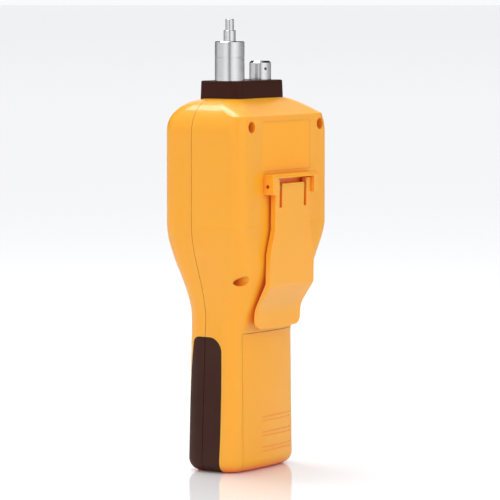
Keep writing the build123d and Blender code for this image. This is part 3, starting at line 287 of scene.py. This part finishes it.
def all_looks():
    """One material for each of the record's slots."""
    looks = {
        "orange_shell": shell_plastic("orange_shell_look"),
        "fitting_steel": turned_steel("fitting_steel_look", (0.84, 0.84, 0.835), rough=0.14),
        "display_glass": display_glass("display_glass_look"),
    }
    for slot, (colour, rough, grain, depth, others) in PLASTICS.items():
        looks[slot] = moulded_plastic(slot + "_look", colour, rough, grain, depth, **others)
    for slot, values in RUBBERS.items():
        looks[slot] = soft_rubber(slot + "_look", *values)
    for slot, values in METALS.items():
        looks[slot] = plain_metal(slot + "_look", *values)
    return looks


def dress_parts():
    """Each piece of the frame gets the look of its slot."""
    looks = all_looks()
    for part in frame["record"]["subparts"]:
        materials = frame["nodes"][part["node"]].data.materials
        materials.clear()
        materials.append(looks[part["material_slot"]])


# ---------------------------------------------------------------- studio
def on_ring(azimuth, distance, height):
    """A place round the object: azimuth 0 is in front of the display, 90 on the +X side."""
    turn = math.radians(azimuth)
    return (math.sin(turn) * distance, -math.cos(turn) * distance, height)


def soft_light(name, place, target, size, power, mirrored=False):
    """A rectangular softbox aimed at a point, seen in gloss only if mirrored."""
    data = bpy.data.lights.new(name, "AREA")
    data.shape = "RECTANGLE"
    data.size, data.size_y = size
    data.energy = power
    light = bpy.data.objects.new(name, data)
    light.location = place
    light.rotation_euler = (Vector(target) - Vector(place)).to_track_quat("-Z", "Y").to_euler()
    light.visible_glossy = mirrored
    bpy.context.scene.collection.objects.link(light)


def place_lights():
    """A large softbox overhead, and three dimmer ones that fill the side, back and foot."""
    soft_light("top_light", on_ring(-12, 0.30, 0.95), SHOULDER, (0.42, 0.50), 5.0, mirrored=True)
    soft_light("side_light", on_ring(108, 1.1, 0.25), MIDDLE, (0.5, 0.5), 1.3)
    soft_light("back_light", on_ring(185, 1.1, 0.45), MIDDLE, (0.5, 0.9), 1.5)
    soft_light("low_light", on_ring(130, 1.0, 0.08), GRIP_FOOT, (0.7, 0.12), 0.45)


def pale_floor():
    """A wide pale floor with a soft sheen."""
    mesh = bpy.data.meshes.new("studio_floor")
    form = bmesh.new()
    bmesh.ops.create_grid(form, x_segments=2, y_segments=2, size=FLOOR_HALF)
    form.to_mesh(mesh)
    form.free()
    floor = bpy.data.objects.new("studio_floor", mesh)
    bpy.context.scene.collection.objects.link(floor)
    surface = Surface("studio_floor_look", FLOOR_COLOUR, rough=0.5, specular=0.0)
    sheen = surface.add("ShaderNodeBsdfGlossy")
    sheen.inputs["Color"].default_value = (1, 1, 1, 1)
    patches = surface.noise(size=0.3, detail=2.0)
    surface.link(surface.spread(patches, *FLOOR_GLOSS), sheen.inputs["Roughness"])
    both = surface.add("ShaderNodeMixShader")
    share, matt, glossy = both.inputs
    share.default_value = FLOOR_SHEEN
    surface.link(surface.shader.outputs[0], matt)
    surface.link(sheen.outputs[0], glossy)
    surface.link(both.outputs[0], surface.tree.nodes["Material Output"].inputs["Surface"])
    mesh.materials.append(surface.material)
    floor.location = (0, 0, -FLOOR_DROP)


def studio_air():
    """An even white surround, with grey screens round it that only reflections see."""
    world = bpy.data.worlds.new("studio_air")
    world.use_nodes = True
    tree = world.node_tree
    tree.nodes.clear()
    plain = tree.nodes.new("ShaderNodeBackground")
    plain.inputs["Color"].default_value = (*SURROUND_COLOUR, 1)
    plain.inputs["Strength"].default_value = SURROUND
    screens = tree.nodes.new("ShaderNodeBackground")
    screens.inputs["Strength"].default_value = SURROUND
    tree.links.new(screen_grey(tree), screens.inputs["Color"])
    path = tree.nodes.new("ShaderNodeLightPath")
    mix = tree.nodes.new("ShaderNodeMixShader")
    choice, seen_directly, seen_in_gloss = mix.inputs
    tree.links.new(path.outputs["Is Glossy Ray"], choice)
    tree.links.new(plain.outputs[0], seen_directly)
    tree.links.new(screens.outputs[0], seen_in_gloss)
    out = tree.nodes.new("ShaderNodeOutputWorld")
    tree.links.new(mix.outputs[0], out.inputs["Surface"])
    bpy.context.scene.world = world


def screen_grey(tree):
    """The grey of the screens, from the direction round the vertical axis."""
    place = tree.nodes.new("ShaderNodeTexCoord")
    turned = tree.nodes.new("ShaderNodeMapping")
    turned.inputs["Scale"].default_value = (1, -1, 1)
    turned.inputs["Rotation"].default_value = (0, 0, math.radians(SCREENS_FACE))
    tree.links.new(place.outputs["Generated"], turned.inputs["Vector"])
    apart = tree.nodes.new("ShaderNodeSeparateXYZ")
    tree.links.new(turned.outputs["Vector"], apart.inputs[0])
    turn = tree.nodes.new("ShaderNodeMath")
    turn.operation = "ARCTAN2"
    tree.links.new(apart.outputs["X"], turn.inputs[0])
    tree.links.new(apart.outputs["Y"], turn.inputs[1])
    share = tree.nodes.new("ShaderNodeMapRange")
    share.inputs["From Min"].default_value = -math.pi
    share.inputs["From Max"].default_value = math.pi
    tree.links.new(turn.outputs[0], share.inputs["Value"])
    ramp = tree.nodes.new("ShaderNodeValToRGB")
    stops = ramp.color_ramp.elements
    for angle, grey in SCREENS:
        stop = stops.new(0.5 + angle / 360)
        stop.color = (grey, grey, grey * SCREEN_BLUE, 1)
    stops.remove(stops[0])
    stops.remove(stops[-1])
    tree.links.new(share.outputs["Result"], ramp.inputs["Fac"])
    return ramp.outputs["Color"]


# ---------------------------------------------------------------- camera
def place_camera():
    """A long lens behind the object's right side, a little above its top."""
    lens = bpy.data.cameras.new("view_camera")
    lens.sensor_width = VIEW_SENSOR
    lens.lens = VIEW_LENS
    lens.shift_x, lens.shift_y = VIEW_SHIFT
    lens.clip_end = VIEW_REACH
    camera = bpy.data.objects.new("view_camera", lens)
    rise = math.radians(VIEW_HEIGHT)
    towards = Vector(on_ring(VIEW_AZIMUTH, math.cos(rise), math.sin(rise)))
    camera.location = VIEW_AIM + towards * VIEW_DISTANCE
    camera.rotation_euler = (-towards).to_track_quat("-Z", "Y").to_euler()
    bpy.context.scene.collection.objects.link(camera)
    bpy.context.scene.camera = camera


dress_parts()
pale_floor()
studio_air()
place_lights()
bpy.context.scene.view_settings.view_transform = "Standard"
place_camera()
